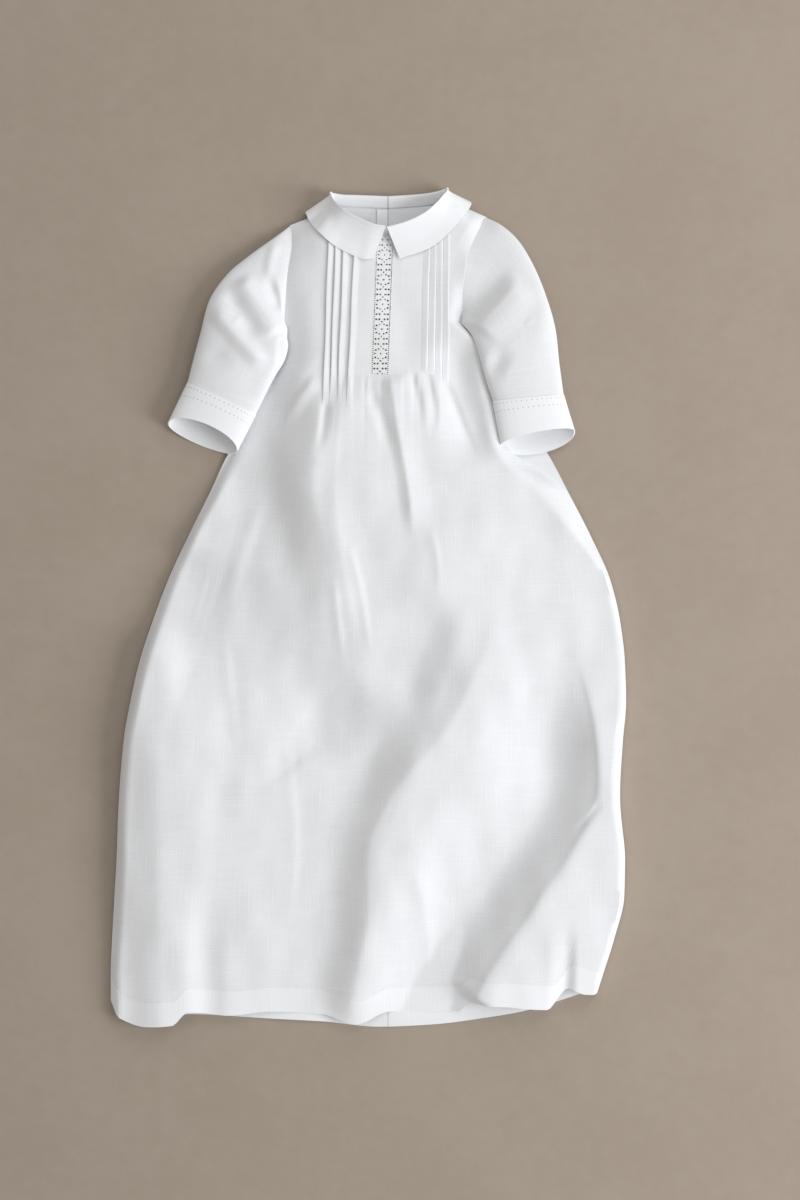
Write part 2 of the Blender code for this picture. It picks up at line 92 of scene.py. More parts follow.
class Value:
    """A number in a material. Arithmetic on it adds Math nodes to the material that it is in."""

    def __init__(self, finish, socket):
        self.finish, self.socket = finish, socket

    def math(self, operation, *values):
        return self.finish.node("ShaderNodeMath", {"operation": operation}, dict(enumerate(values)))

    def __add__(self, other):
        return self.math("ADD", self, other)

    def __sub__(self, other):
        return self.math("SUBTRACT", self, other)

    def __rsub__(self, other):
        return self.math("SUBTRACT", other, self)

    def __mul__(self, other):
        return self.math("MULTIPLY", self, other)

    __radd__ = __add__
    __rmul__ = __mul__

    def absolute(self):
        return self.math("ABSOLUTE", self)

    def modulo(self, other):
        return self.math("FLOORED_MODULO", self, other)

    def larger(self, other):
        return self.math("MAXIMUM", self, other)

    def step(self, start, end):
        """0 at start and beyond, 1 at end and beyond, and an even S between."""
        limits = {"Value": self, "From Min": start, "From Max": end}
        return self.finish.node("ShaderNodeMapRange", {"interpolation_type": "SMOOTHSTEP"}, limits)


class Finish:
    """A material of one Principled surface, and the nodes that feed it."""

    def __init__(self, name, roughness):
        self.material = bpy.data.materials.new(name)
        self.material.use_nodes = True
        self.nodes = self.material.node_tree.nodes
        self.links = self.material.node_tree.links
        self.surface = self.nodes["Principled BSDF"]
        self.surface.inputs["Roughness"].default_value = roughness
        self.surface.inputs["Specular IOR Level"].default_value = SHINE

    def node(self, kind, settings=None, inputs=None, output=0):
        made = self.nodes.new(kind)
        for setting, value in (settings or {}).items():
            setattr(made, setting, value)
        for socket, value in (inputs or {}).items():
            if isinstance(value, Value):
                self.links.new(value.socket, made.inputs[socket])
            else:
                made.inputs[socket].default_value = value
        return Value(self, made.outputs[output])

    def colour(self, value):
        self.links.new(value.socket, self.surface.inputs["Base Color"])

    def bump(self, height, distance, strength=1.0):
        made = self.node("ShaderNodeBump", {}, {"Height": height, "Distance": distance, "Strength": strength})
        self.links.new(made.socket, self.surface.inputs["Normal"])

    def blend(self, share, first, second):
        """A colour between two others, by a share from 0 to 1."""
        pair = [colour if isinstance(colour, Value) else (*colour, 1.0) for colour in (first, second)]
        inputs = {0: share, MIX_COLOURS[0]: pair[0], MIX_COLOURS[1]: pair[1]}
        return self.node("ShaderNodeMix", {"data_type": "RGBA"}, inputs, MIX_RESULT)

    def grain(self, place, scale, stretch=(1.0, 1.0, 1.0), turn=0.0, detail=3.0):
        """Soft noise, its cells drawn out where a stretch is above 1."""
        size = tuple(scale / share for share in stretch)
        turned = self.node(
            "ShaderNodeMapping", {"vector_type": "POINT"},
            {"Vector": place, "Rotation": (0.0, 0.0, turn), "Scale": size},
        )
        return self.node("ShaderNodeTexNoise", {}, {"Vector": turned, "Scale": 1.0, "Detail": detail})


board_paint = Finish("board_paint", BOARD_ROUGH)
on_board = board_paint.node("ShaderNodeTexCoord", output=3)
wide = board_paint.grain(on_board, MOTTLE_CELLS[0], detail=5.0) * MOTTLE_SHARES[0]
mottle = wide + board_paint.grain(on_board, MOTTLE_CELLS[1]) * MOTTLE_SHARES[1]
board_paint.colour(board_paint.blend(mottle.step(0.35, 0.65), BOARD_TONE, BOARD_PALE))
board_paint.bump(board_paint.grain(on_board, BRUSH_CELLS), 0.0004, 0.25)

slab = bmesh.new()
bmesh.ops.create_grid(slab, x_segments=4, y_segments=4, size=BOARD_HALF)
bmesh.ops.translate(slab, verts=slab.verts, vec=(0.0, 0.0, -BOARD_DROP))
board = placed("board", meshed("board", slab, board_paint.material))


def soft_light(name, place, side, power):
    """A square light that faces the middle of the board."""
    data = bpy.data.lights.new(name, "AREA")
    data.shape = "SQUARE"
    data.size = side
    data.energy = power
    data.color = WINDOW_TINT
    light = placed(name, data)
    light.location = place
    light.rotation_mode = "QUATERNION"
    light.rotation_quaternion = Vector(place).to_track_quat("Z", "Y")


soft_light("window", Vector(WINDOW_FROM).normalized() * WINDOW_AWAY, WINDOW_SIDE, WINDOW_POWER)
soft_light("lamp", LAMP_PLACE, LAMP_SIDE, LAMP_POWER)

room = bpy.data.worlds.new("room")
room.use_nodes = True
room.node_tree.nodes["Background"].inputs["Color"].default_value = (*ROOM_TINT, 1.0)
room.node_tree.nodes["Background"].inputs["Strength"].default_value = ROOM_STRENGTH
scene.world = room
scene.view_settings.view_transform = "Standard"

camera_data = bpy.data.cameras.new("camera")
camera_data.lens = LENS
camera = placed("camera", camera_data)
camera.location = EYE
scene.camera = camera

# ------------------------------
# The linen. Plain-weave bleached linen of fine uneven yarn, washed and pressed: slubs show as
# short thin streaks both ways, and a turned-up hem or a facing looks whiter than a single layer.
SINGLE_LAYER = (0.842, 0.853, 0.870)
DOUBLE_LAYER = (0.916, 0.928, 0.948)
THIN_THREADS = (0.735, 0.745, 0.757)
HOLE_SHADE = (0.52, 0.52, 0.525)
HEM_WHITER = 0.6  # how far the hem goes towards a facing's white
YARN = 0.00062  # pitch of the threads
SLUB_LONG = 24.0  # length of a slub over its thickness
HEM_DEPTH = 23.0
CELL_THREADS = 1.6
WARP_SLUB = (520.0, 26.0)  # cells to a metre, length over thickness
WEFT_SLUB = (560.0, 30.0)
CLOUD_CELLS = 42.0
THREAD_SHADE, CLOUD_SHADE, SLUB_WHITE = 0.24, 0.14, 0.24
CLOTH_ROUGH = 0.9
LINEN_RELIEF = 0.00018


def linen(name, doubled=0.0, hemmed=False, painted_holes=None):
    """Linen read from the piece's own map of thread lengths, in metres."""
    made = Finish(name, CLOTH_ROUGH)
    thread = made.node("ShaderNodeUVMap", {"uv_map": "threads"})
    warp = made.grain(thread, 1 / YARN / CELL_THREADS, (1.0, SLUB_LONG, 1.0))
    weft = made.grain(thread, 1 / YARN / CELL_THREADS, (SLUB_LONG, 1.0, 1.0))
    warp_slub = made.grain(thread, WARP_SLUB[0], (1.0, WARP_SLUB[1], 1.0), detail=1.0).step(0.60, 0.72)
    weft_slub = made.grain(thread, WEFT_SLUB[0], (WEFT_SLUB[1], 1.0, 1.0), detail=1.0).step(0.59, 0.70)
    cloudy = made.grain(thread, CLOUD_CELLS, detail=4.0)
    streaks = warp * 0.5 + weft * 0.5
    thin = streaks.step(0.56, 0.40) * THREAD_SHADE + cloudy.step(0.62, 0.38) * CLOUD_SHADE
    layers = made.node("ShaderNodeAttribute", {"attribute_name": "hem"}, output=2) if hemmed else None
    double = layers.step(HEM_DEPTH + 0.4, HEM_DEPTH - 0.4) * HEM_WHITER if hemmed else doubled
    single = made.blend(thin, SINGLE_LAYER, THIN_THREADS)
    if hemmed or doubled:
        single = made.blend(double, single, made.blend(thin * 0.45, DOUBLE_LAYER, SINGLE_LAYER))
    white = made.blend((warp_slub + weft_slub) * SLUB_WHITE, single, DOUBLE_LAYER)
    # the hemstitch holes are not cut: the shade inside them is painted into the colour
    if painted_holes:
        white = made.blend(painted_holes(made, thread), white, HOLE_SHADE)
    made.colour(white)
    relief = streaks * 0.7 + (warp_slub + weft_slub) * 0.5 + cloudy * 1.2
    made.bump(relief, LINEN_RELIEF, 0.5)
    return made.material


# ------------------------------
# The front. One gathered length of linen from hem to armholes, cut out at the top for the yoke.
# It is laid over the empty body of the gown, so it rolls up from both side edges to a crown.
CLOTH = 0.9  # wall of the seen cloth
SEAM = 0.3
SEAM_UNDER = 0.7  # how far a sleeve runs in under the edge of its armhole, and how far below
SEAM_BELOW = 0.45
SEAM_Y = 223.5  # where the gathered skirt joins the yoke
ARMHOLES = {  # the armhole seam from the shoulder down to the underarm, as (x, y)
    "left": ((-75, 367.6), (-72.8, 349), (-76.5, 325), (-79.4, 300), (-81, 275.5)),
    "right": ((113, 375.4), (100.5, 353), (93.6, 335), (90.2, 305), (88.8, 274)),
}
ARMHOLE_SIDE = 2.4
ARMHOLE_CROWN = {"left": 9.0, "right": 15.5}
ARMHOLE_SWELL = {"left": 1.3, "right": 0.75}  # below 1 the arch is full to its ends, above 1 it is peaked
SHOULDERS = {"left": (-57, 374.8), "right": (96, 383.2)}
SHOULDER_ROLL = 20.0
COLLAR_FLOOR = 1.6  # how far the back lifts to let the collar lie under it
COLLAR_FLOOR_FROM = 344.0
COLLAR_FLOOR_TO = 361.0
FRONT_OVER_BACK = 2.4
# y, left edge, left rise, left roll, right roll, right rise, right edge, crown
BODY = (
    (275, -81, -81, 36, 14, 88.8, 88.8, 15),
    (250, -83, -80, 36, 16, 114, 115.5, 16),
    (223.5, -95, -89, 32, 18, 119.5, 127, 17),
    (190, -112, -106, 24, 20, 128.5, 146, 19),
    (160, -128, -122, 17, 20, 134.5, 165, 21),
    (140, -139, -136, 14, 24, 150, 177, 22),
    (115, -150.5, -149, 12, 32, 186, 190, 23),
    (66, -174.7, -174, 10, 16, 214, 215, 24),
    (28, -192.1, -191, 10, 5, 231, 231.8, 24),
    (-10, -206.4, -205, 10, 3.6, 240, 241, 24),
    (-50, -219.5, -218, 10, 3.6, 245, 245.8, 24),
    (-88, -228.2, -227, 10, 3.6, 246, 247, 23),
    (-126, -234.8, -234, 8.5, 3.6, 243, 244.4, 22),
    (-190, -239.8, -239, 8.5, 3.6, 241, 242, 21),
    (-240, -241.6, -240, 8.5, 3.6, 245, 246, 20),
    (-275, -243.6, -242, 8.5, 4, 244, 245.3, 18.5),
    (-315, -245.8, -244, 8.5, 4, 235, 236, 16.5),
    (-350, -247.2, -246, 8.5, 4, 224, 225, 14.5),
    (-400, -247.2, -246, 8.5, 4, 208, 209, 12.5),
)
FRONT_HEM = (
    (-247.2, -375), (-238, -390.5), (-212, -398.4), (-186, -397), (-172, -385),
    (-132, -388.6), (-95, -385.4), (-44, -388), (-11, -397), (20, -385.6), (86, -385.4),
    (98, -376.5), (130, -378.6), (172, -382), (187, -362), (204, -367.6), (219.4, -368.4),
)
BACK_HEM = (
    (-247.2, -373), (-232, -389), (-180, -388.5), (-102, -392.3), (-46, -395.4), (10, -400.8),
    (64, -398.6), (125, -390.7), (160, -384), (219.4, -364),
)
FRONT_NECK = (
    (-38, 385.5), (-30.5, 380), (-22, 374), (-9, 367.6), (4, 362), (17.3, 359.6),
    (31, 362.8), (44, 367.6), (59.5, 376), (71, 388), (79.5, 393.4),
)
BACK_NECK = ((-38, 385.5), (-27, 383.6), (18.7, 383.2), (66, 385), (79.5, 393.4))
YOKE_SIDES = (((-21.5, 373), (-26, SEAM_Y)), ((67.5, 383), (65.5, SEAM_Y)))
FAN_FEET = (-92.0, 84.0)  # x at the hem of the columns that start at the yoke's two sides
FRONT_ZONES = (50, 56, 50)
ROWS_BELOW = 190
ROWS_ABOVE = 48
ROWS_TO_UNDERARM = 16

# Each fold: its line as (x, y) from the top down, the width of its slope on the -x side and on the
# +x side, its height (below zero for a trough), the lengths over which its two ends fade (1 where
# the lower end runs off the hem unfaded), and its line, from 0, round, to 1, creased.
FOLDS = {
    # the hollow under the left tucks, and the ridges that run on from the gathers
    "hollow": (
        ((-80, 234), (-104, 187), (-115, 150), (-112, 105), (-94, 50), (-76, 2)),
        150, 64, -14.4, 50, 110, 0,
    ),
    "left fall": (((-172, 72), (-192, 25), (-206, -15), (-214, -42)), 40, 75, -9.0, 35, 35, 0),
    "ridge": (
        ((-36, 226), (-37, 195), (-36, 150), (-33, 100), (-26, 45), (-14, -10), (-6, -50)),
        64, 150, 5.8, 40, 100, 0,
    ),
    "middle": (((84, 110), (80, 50), (76, 0), (72, -40), (64, -80)), 92, 80, 5.2, 50, 50, 0),
    "hollow edge": (
        ((-44, 190), (-49, 150), (-52, 105), (-36, 47), (-28, 0), (-22, -30)),
        40, 26, 3.4, 40, 50, 0.3,
    ),
    "ridge line": (
        ((-20, 226), (-25, 195), (-30, 150), (-31, 100), (-24, 45), (-12, -20), (-2, -60)),
        14, 26, 1.6, 20, 70, 0.5,
    ),
    "gather 1": (((21, 223), (26, 183), (31, 155), (36, 128), (40, 98), (43, 62)), 11, 24, 4.0, 10, 40, 0.8),
    "gather 2": (((2, 209), (14, 178), (21, 147)), 10, 9, -2.2, 12, 30, 0.2),
    "gather 3": (((41, 227), (47.5, 200), (50, 170)), 9, 6, -1.6, 8, 30, 0.4),
    "gather 4": (((55, 227), (63, 191), (62, 162)), 9, 6, -1.8, 8, 30, 0.4),
    "gather 5": (((70, 219), (78, 205), (90, 175), (104, 140)), 10, 7, -1.8, 12, 40, 0.3),
    "gather 6": (((-40, 200), (-43, 170), (-50, 140)), 6, 8, -2.2, 10, 40, 0.3),
    "flank": (((-48, 222), (-58, 210), (-66, 200), (-84, 170)), 8, 12, 2.6, 12, 30, 0.3),
    # the deep trough down the middle, and the crest on its +x side
    "trough": (
        ((40, -30), (20, -90), (1, -140), (-15, -180), (-27, -220), (-33, -260), (-37, -300), (-44, -350),
         (-50, -400)),
        150, 46, -8.8, 160, 1, 0,
    ),
    "upper trough": (((4, -70), (-9, -105), (-24, -150), (-28, -190)), 70, 82, -3.8, 50, 60, 0),
    "crest": (
        ((120, 0), (113, -32), (101, -62), (84, -98), (66, -125), (43, -150), (24, -174), (6, -209),
         (0, -228), (-1, -258), (0, -295), (-6, -327), (-13, -360), (-19, -400)),
        40, 80, 5.8, 70, 30, 0.6,
    ),
    "blob": (((64, 20), (54, -24), (41, -66), (26, -102)), 60, 32, -6.0, 40, 40, 0),
    "panel": (((40, -238), (50, -272), (56, -310), (59, -364)), 24, 15, 1.8, 30, 30, 0.8),
    # the trough on the +x side, and the crest of the fold that laps over it
    "right trough": (
        ((156, -30), (168, -80), (173, -130), (172, -165), (160, -200), (138, -232), (115, -266), (95, -300),
         (72, -345), (56, -385)),
        90, 57, -15.0, 120, 1, 0,
    ),
    "lap": (
        ((194, -30), (208, -56), (220, -100), (225, -150), (221, -188), (196, -236), (171, -272), (152, -301),
         (127, -337), (103, -378)),
        52, 150, 6.6, 110, 10, 0.2,
    ),
    "right side": (
        ((140, 160), (196, 80), (226, 10), (242, -70), (238, -190), (242, -250), (224, -350), (209, -400)),
        110, 30, -2.2, 60, 1, 0,
    ),
    "pinch": (((226, -180), (212, -198), (196, -214)), 5, 5, -1.6, 8, 14, 0.3),
    # broad swells
    "left swell": (((-190, -50), (-198, -140), (-199, -240), (-197, -400)), 42, 64, 4.8, 110, 1, 0.35),
    "border": (((-228, -110), (-238, -200), (-242, -280), (-244, -400)), 20, 46, -2.6, 70, 1, 0),
    "right swell": (((150, -10), (150, -80), (140, -160), (118, -240)), 70, 60, 3.0, 80, 80, 0),
    "brow": (((-200, -20), (-147, -35), (-75, -83), (-37, -116), (-18, -145)), 96, 96, -10.5, 50, 60, 0),
    # fine pressed creases
    "fine 1": (((-138, -20), (-131, -78), (-123, -145)), 14, 6, 0.9, 30, 40, 0.7),
    "fine 2": (((-80, -106), (-70, -212), (-75, -308)), 14, 6, 0.7, 40, 60, 0.7),
    "fine 3": (((-18, 63), (-6, 14), (3, -49)), 10, 5, 1.2, 20, 40, 0.8),
    "fine 4": (((-33, 34), (-23, -55)), 10, 5, 1.2, 25, 40, 0.8),
    "fine 5": (((57, 83), (65, 54), (69, 9)), 10, 5, 0.9, 20, 30, 0.8),
    "fine 6": (((-140, -60), (-132, -130), (-138, -230)), 26, 20, -1.6, 60, 60, 0),
    "fine 7": (((-150, -250), (-154, -330), (-156, -400)), 22, 22, -3.2, 60, 1, 0),
    "beside the sleeve": (((84, 262), (86, 225), (93, 185), (102, 158), (110, 132)), 34, 28, -6.0, 30, 40, 0),
    "fine 8": (((-96, 120), (-118, 60), (-136, 0)), 14, 12, 1.1, 40, 40, 0.3),
    "hem step": (((188, -290), (190, -330), (188, -400)), 20, 9, -4.0, 50, 1, 0.2),
}
LAP_LEAN = (12, 26, 5.0, 40, 12, 0.3)  # the lap leans over its trough by a fold of these values, sideways
LAP_SLANT = 0.35
CREASE = 1.7  # how hollow the slopes of a creased fold are
ROLL = 0.85  # how full the cloth's rolled edges are
GATHER_HEIGHT = 0.34
GATHER_PITCHES = (9.5, 5.3)
GATHER_LONG = 28.0
SWELLS = 14  # small uneven swells of the laid cloth
SWELL_HEIGHT = 0.22

chance = np.random.default_rng(11)


def smooth(t):
    t = np.clip(t, 0.0, 1.0)
    return t * t * (3 - 2 * t)


def between(a, b, t):
    return a + (b - a) * t


def curve(points):
    """A smooth line through (station, value) pairs that never swings past them."""
    rows = np.array(sorted(points), float)
    at, value = rows[:, 0], rows[:, 1]
    rate = np.diff(value) / np.diff(at)
    slope = np.concatenate([rate[:1], np.zeros(len(rate) - 1), rate[-1:]])
    turns = rate[:-1] * rate[1:] > 0
    slope[1:-1][turns] = (2 * rate[:-1] * rate[1:])[turns] / (rate[:-1] + rate[1:])[turns]

    def read(where):
        where = np.clip(where, at[0], at[-1])
        i = np.clip(np.searchsorted(at, where) - 1, 0, len(rate) - 1)
        reach = at[i + 1] - at[i]
        t = (where - at[i]) / reach
        started = value[i] * (1 + 2 * t) * (1 - t) ** 2 + slope[i] * reach * t * (1 - t) ** 2
        ended = value[i + 1] * t * t * (3 - 2 * t) - slope[i + 1] * reach * t * t * (1 - t)
        return started + ended

    return read


def swapped(points):
    return [(y, x) for x, y in points]


def through(a, b, c, d, t):
    """A point t of the way from b to c, on the smooth curve through a, b, c and d."""
    return 0.5 * (2 * b + (c - a) * t + (2 * a - 5 * b + 4 * c - d) * t**2 + (3 * b - a - 3 * c + d) * t**3)


def spline(points, at):
    """Points of a smooth curve through the rows of points, at places counted in rows."""
    points = np.asarray(points, float)
    last = len(points) - 1
    padded = np.concatenate([[2 * points[0] - points[1]], points, [2 * points[-1] - points[-2]]])
    i = np.clip(np.floor(at).astype(int), 0, last - 1)
    t = np.asarray(at - i, float)
    t = t.reshape(t.shape + (1,) * (points.ndim - 1))
    return through(*(padded[i + k] for k in range(4)), t)


body = [curve([(row[0], row[column]) for row in BODY]) for column in range(8)]
armhole = {side: curve(swapped(points)) for side, points in ARMHOLES.items()}


def top_edge(neck):
    return curve([ARMHOLES["left"][0], SHOULDERS["left"], *neck, SHOULDERS["right"], ARMHOLES["right"][0]])


shoulder_line = top_edge((FRONT_NECK[0], FRONT_NECK[-1]))
front_top = top_edge(FRONT_NECK)
back_top = top_edge(BACK_NECK)
front_hem = curve(FRONT_HEM)
back_hem = curve(BACK_HEM)


def armhole_share(side, y):
    top, foot = ARMHOLES[side][0][1], ARMHOLES[side][-1][1]
    return np.clip((top - y) / (top - foot), 0.0, 1.0)


def armhole_height(side, share):
    swell = np.sin(math.pi * share)
    return between(ARMHOLE_SIDE, ARMHOLE_CROWN[side], swell ** ARMHOLE_SWELL[side])


def back_floor(y):
    return COLLAR_FLOOR * np.clip((y - COLLAR_FLOOR_FROM) / (COLLAR_FLOOR_TO - COLLAR_FLOOR_FROM), 0.0, 1.0)


def side_edge(side, y):
    below = body[1 if side == "left" else 6](y)
    return np.where(y > ARMHOLES[side][-1][1], armhole[side](y), below)


def rise(away, roll):
    return np.sin(0.5 * math.pi * np.clip(away / roll, 0.0, 1.0)) ** ROLL


def fold(x, y, line, minus_width, plus_width, height, fade_in, fade_out, crisp):
    """What one fold adds to the height of the points x, y."""
    added = np.zeros_like(x)
    reach = max(minus_width, plus_width)
    ends = np.array(line, float)
    near = (x > ends[:, 0].min() - reach) & (x < ends[:, 0].max() + reach)
    near &= (y > ends[:, 1].min() - reach) & (y < ends[:, 1].max() + reach)
    if not near.any():
        return added
    path = spline(ends, np.linspace(0, len(ends) - 1, 6 * len(ends)))
    px, py = x[near], y[near]
    best = np.full(px.shape, 1e9)
    side, along = np.zeros_like(best), np.zeros_like(best)
    walked = 0.0
    for start, end in zip(path[:-1], path[1:]):
        run = end - start
        length = math.hypot(*run)
        share = np.clip(((px - start[0]) * run[0] + (py - start[1]) * run[1]) / length**2, 0.0, 1.0)
        away_x, away_y = px - start[0] - share * run[0], py - start[1] - share * run[1]
        away = np.hypot(away_x, away_y)
        closer = away < best
        best = np.where(closer, away, best)
        side = np.where(closer, run[0] * away_y - run[1] * away_x, side)
        along = np.where(closer, walked + share * length, along)
        walked += length
    width = np.where(side < 0, minus_width, plus_width)
    share = np.clip(best / width, 0.0, 1.0)
    profile = between(0.5 + 0.5 * np.cos(math.pi * share), (1 - share) ** CREASE, crisp)
    fade = smooth(along / fade_in + 0.02) * smooth((walked - along) / fade_out + (fade_out == 1))
    added[near] = height * profile * fade
    return added


swell_turns = chance.uniform(0, TURN, (SWELLS, 2))
swell_sizes = chance.uniform(22.0, 75.0, SWELLS)


def swells(x, y):
    """Small uneven swells, longer down the cloth than across it."""
    total = np.zeros_like(x)
    for (heading, phase), size in zip(swell_turns, swell_sizes):
        across = x * math.cos(heading) + 0.45 * y * math.sin(heading)
        total += np.cos(TURN * across / size + phase) * size / 75
    return total * SWELL_HEIGHT


def gathers(x, y):
    """Small pleats that the gathering thread draws in along the yoke seam."""
    down = SEAM_Y - y
    inside = smooth((x + 34) / 12) * smooth((76 - x) / 12) * (down > 0)
    wide, fine = (TURN * x / pitch for pitch in GATHER_PITCHES)
    pleats = np.cos(wide + 1.3 * np.sin(x / 7.0)) + 0.6 * np.cos(fine + 1.0)
    return GATHER_HEIGHT * pleats * inside * np.exp(-down / GATHER_LONG) * smooth(down / 9.0)


def front_height(x, y, folded=True):
    """Height of the front's outer face over the board, in millimetres."""
    lowest = back_floor(y) + FRONT_OVER_BACK
    rises, starts = [], []
    for side, sign, rise_column, roll_column in (("left", 1, 2, 3), ("right", -1, 5, 4)):
        above = y > ARMHOLES[side][-1][1]
        start_x = np.where(above, side_edge(side, y), body[rise_column](y))
        rises.append(rise(sign * (x - start_x), body[roll_column](y)))
        ring = armhole_height(side, armhole_share(side, y)) + back_floor(y)
        starts.append(np.where(above, ring, lowest))
    flat = rises[0] * rises[1]
    height = between(between(starts[0], starts[1], smooth((x + 60) / 120)), body[7](y), flat)
    if folded:
        ripple = sum(fold(x, y, *values) for values in FOLDS.values())
        height = height + (ripple + swells(x, y) + gathers(x, y)) * flat
    height = between(lowest, height, rise(shoulder_line(x) - y, SHOULDER_ROLL))
    return np.maximum(height, lowest)


def cloth(name, columns, rows, place, material, wall=CLOTH, keep=None, tube=False, even=True, crease=50.0):
    """A sheet of cloth from a grid. place(column, row) gives x, y, z in millimetres, the threads' two
    lengths and any attributes, and a wall is laid on the inner side of the face that it gives."""
    grid = bmesh.new()
    bmesh.ops.create_grid(grid, x_segments=columns, y_segments=rows, size=0.5)
    spots = np.array([(round((v.co.x + 0.5) * columns), round((v.co.y + 0.5) * rows)) for v in grid.verts])
    column, row = spots[:, 0].astype(float), spots[:, 1].astype(float)
    x, y, z, u, v, extras = place(column, row)
    for vert, spot in zip(grid.verts, np.stack([x, y, z], axis=1) * MM):
        vert.co = spot
    for extra, values in extras.items():
        layer = grid.verts.layers.float.new(extra)
        for vert, value in zip(grid.verts, values):
            vert[layer] = value
    grid.verts.index_update()
    threads = grid.loops.layers.uv.new("threads")
    for face in grid.faces:
        for loop in face.loops:
            loop[threads].uv = (u[loop.vert.index] * MM, v[loop.vert.index] * MM)
    if keep is not None:
        kept = keep(column, row)
        gone = [f for f in grid.faces if not all(kept[v.index] for v in f.verts)]
        bmesh.ops.delete(grid, geom=gone, context="FACES")
    if tube:
        bmesh.ops.remove_doubles(grid, verts=grid.verts, dist=1e-6)
    return finished(name, meshed(name, grid, material), wall, even, crease)


def finished(name, mesh, wall, even=True, crease=50.0):
    """Lays the wall on a mesh, keeps its rims sharp, and makes it a piece of the gown."""
    piece = placed(name, mesh)
    if wall:
        layer = piece.modifiers.new("wall", "SOLIDIFY")
        layer.thickness = wall * MM
        layer.offset = -1.0
        layer.use_even_offset = even
        whole = bpy.data.meshes.new_from_object(piece.evaluated_get(bpy.context.evaluated_depsgraph_get()))
        piece.modifiers.clear()
        piece.data = whole
        whole.name = name
    piece.data.shade_smooth()
    piece.data.set_sharp_from_angle(angle=math.radians(crease))
    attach(piece, "root")
    return piece


def zone_share(column):
    """The zone that a column of the front is in, and its share of that zone's width."""
    starts = np.cumsum((0, *FRONT_ZONES))
    zone = np.clip(np.searchsorted(starts, column, side="left") - 1, 0, 2)
    return zone, (column - starts[zone]) / np.array(FRONT_ZONES)[zone]


def yoke_side(side, y):
    return curve(swapped(YOKE_SIDES[side]))(y)


def guides(y):
    down = np.clip((SEAM_Y - y) / (SEAM_Y - FRONT_HEM[0][1]), 0.0, None) ** 0.9
    lines = [side_edge("left", y)]
    for side in (0, 1):
        fan = between(YOKE_SIDES[side][1][0], FAN_FEET[side], down)
        lines.append(np.where(y > SEAM_Y, yoke_side(side, y), fan))
    lines.append(side_edge("right", y))
    return np.array(lines)


def front_place(column, row):
    zone, share = zone_share(column)
    ends = guides(np.full_like(column, FRONT_HEM[0][1]))
    ends[3] = np.minimum(ends[3], FRONT_HEM[-1][0])
    pick = np.arange(len(column))
    foot_x = between(ends[zone, pick], ends[zone + 1, pick], share)
    below = between(front_hem(foot_x), SEAM_Y, row / ROWS_BELOW)
    yoke_tops = YOKE_SIDES[0][0][0], YOKE_SIDES[1][0][0]
    tops = np.array((ARMHOLES["left"][0][0], *yoke_tops, ARMHOLES["right"][0][0]))
    top = front_top(between(tops[zone], tops[zone + 1], share))
    up = row - ROWS_BELOW
    underarm = between(ARMHOLES["left"][-1][1], ARMHOLES["right"][-1][1], zone / 2)
    lower = between(SEAM_Y, underarm, up / ROWS_TO_UNDERARM)
    upper = between(underarm, top, (up - ROWS_TO_UNDERARM) / (ROWS_ABOVE - ROWS_TO_UNDERARM))
    y = np.where(row <= ROWS_BELOW, below, np.where(up <= ROWS_TO_UNDERARM, lower, upper))
    lines = guides(y)
    x = between(lines[zone, pick], lines[zone + 1, pick], share)
    z = front_height(x, y)
    lean = fold(x, y, FOLDS["lap"][0], *LAP_LEAN)
    hem = y - front_hem(foot_x)
    return x - lean, y - LAP_SLANT * lean, z, 0.6 * x + 0.4 * foot_x, y, {"hem": hem}


def front_keep(column, row):
    """The yoke's place is left open."""
    middle = (column > FRONT_ZONES[0]) & (column < FRONT_ZONES[0] + FRONT_ZONES[1])
    return (row <= ROWS_BELOW) | ~middle


hemmed_linen = linen("hemmed_linen", hemmed=True)
front = cloth(
    "front_cloth", sum(FRONT_ZONES), ROWS_BELOW + ROWS_ABOVE, front_place, hemmed_linen, keep=front_keep,
)
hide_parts("front")

# ------------------------------
# The yoke. Two flat panels of single linen from the neck to the gathering seam, sewn along the
# two edges of the lace strip between them.
LACE_WIDTH = 16.8
LACE_TOP = 360.0
LACE_CENTRE = ((LACE_TOP, 16.2), (SEAM_Y, 11.0))
YOKE_ROWS = 56

plain_linen = linen("plain_linen")
yoke_linen = linen("yoke_linen", doubled=0.25)


def lace_edge(side):
    centre = curve(LACE_CENTRE)
    return lambda y: centre(y) + side * LACE_WIDTH / 2


def strip(left, right, columns, rows, lift=None):
    """Places a strip of the yoke between two lines that are x as a function of y."""

    def place(column, row):
        share = column / columns
        top = front_top(between(left(np.array(LACE_TOP)), right(np.array(LACE_TOP)), share))
        y = between(SEAM_Y, top, row / rows)
        x = between(left(y), right(y), share)
        z = front_height(x, y) + (lift(x, y) if lift else 0.0)
        return x, y, z, x, y, {}

    return place


yoke_lines = {
    "left": (lambda y: yoke_side(0, y), lace_edge(-1), 14),
    "right": (lace_edge(1), lambda y: yoke_side(1, y), 22),
}
for side, (left, right, columns) in yoke_lines.items():
    place = strip(left, right, columns, YOKE_ROWS)
    panel = cloth(f"yoke_panel_{side}", columns, YOKE_ROWS, place, yoke_linen)
    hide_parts(f"yoke_{side}")

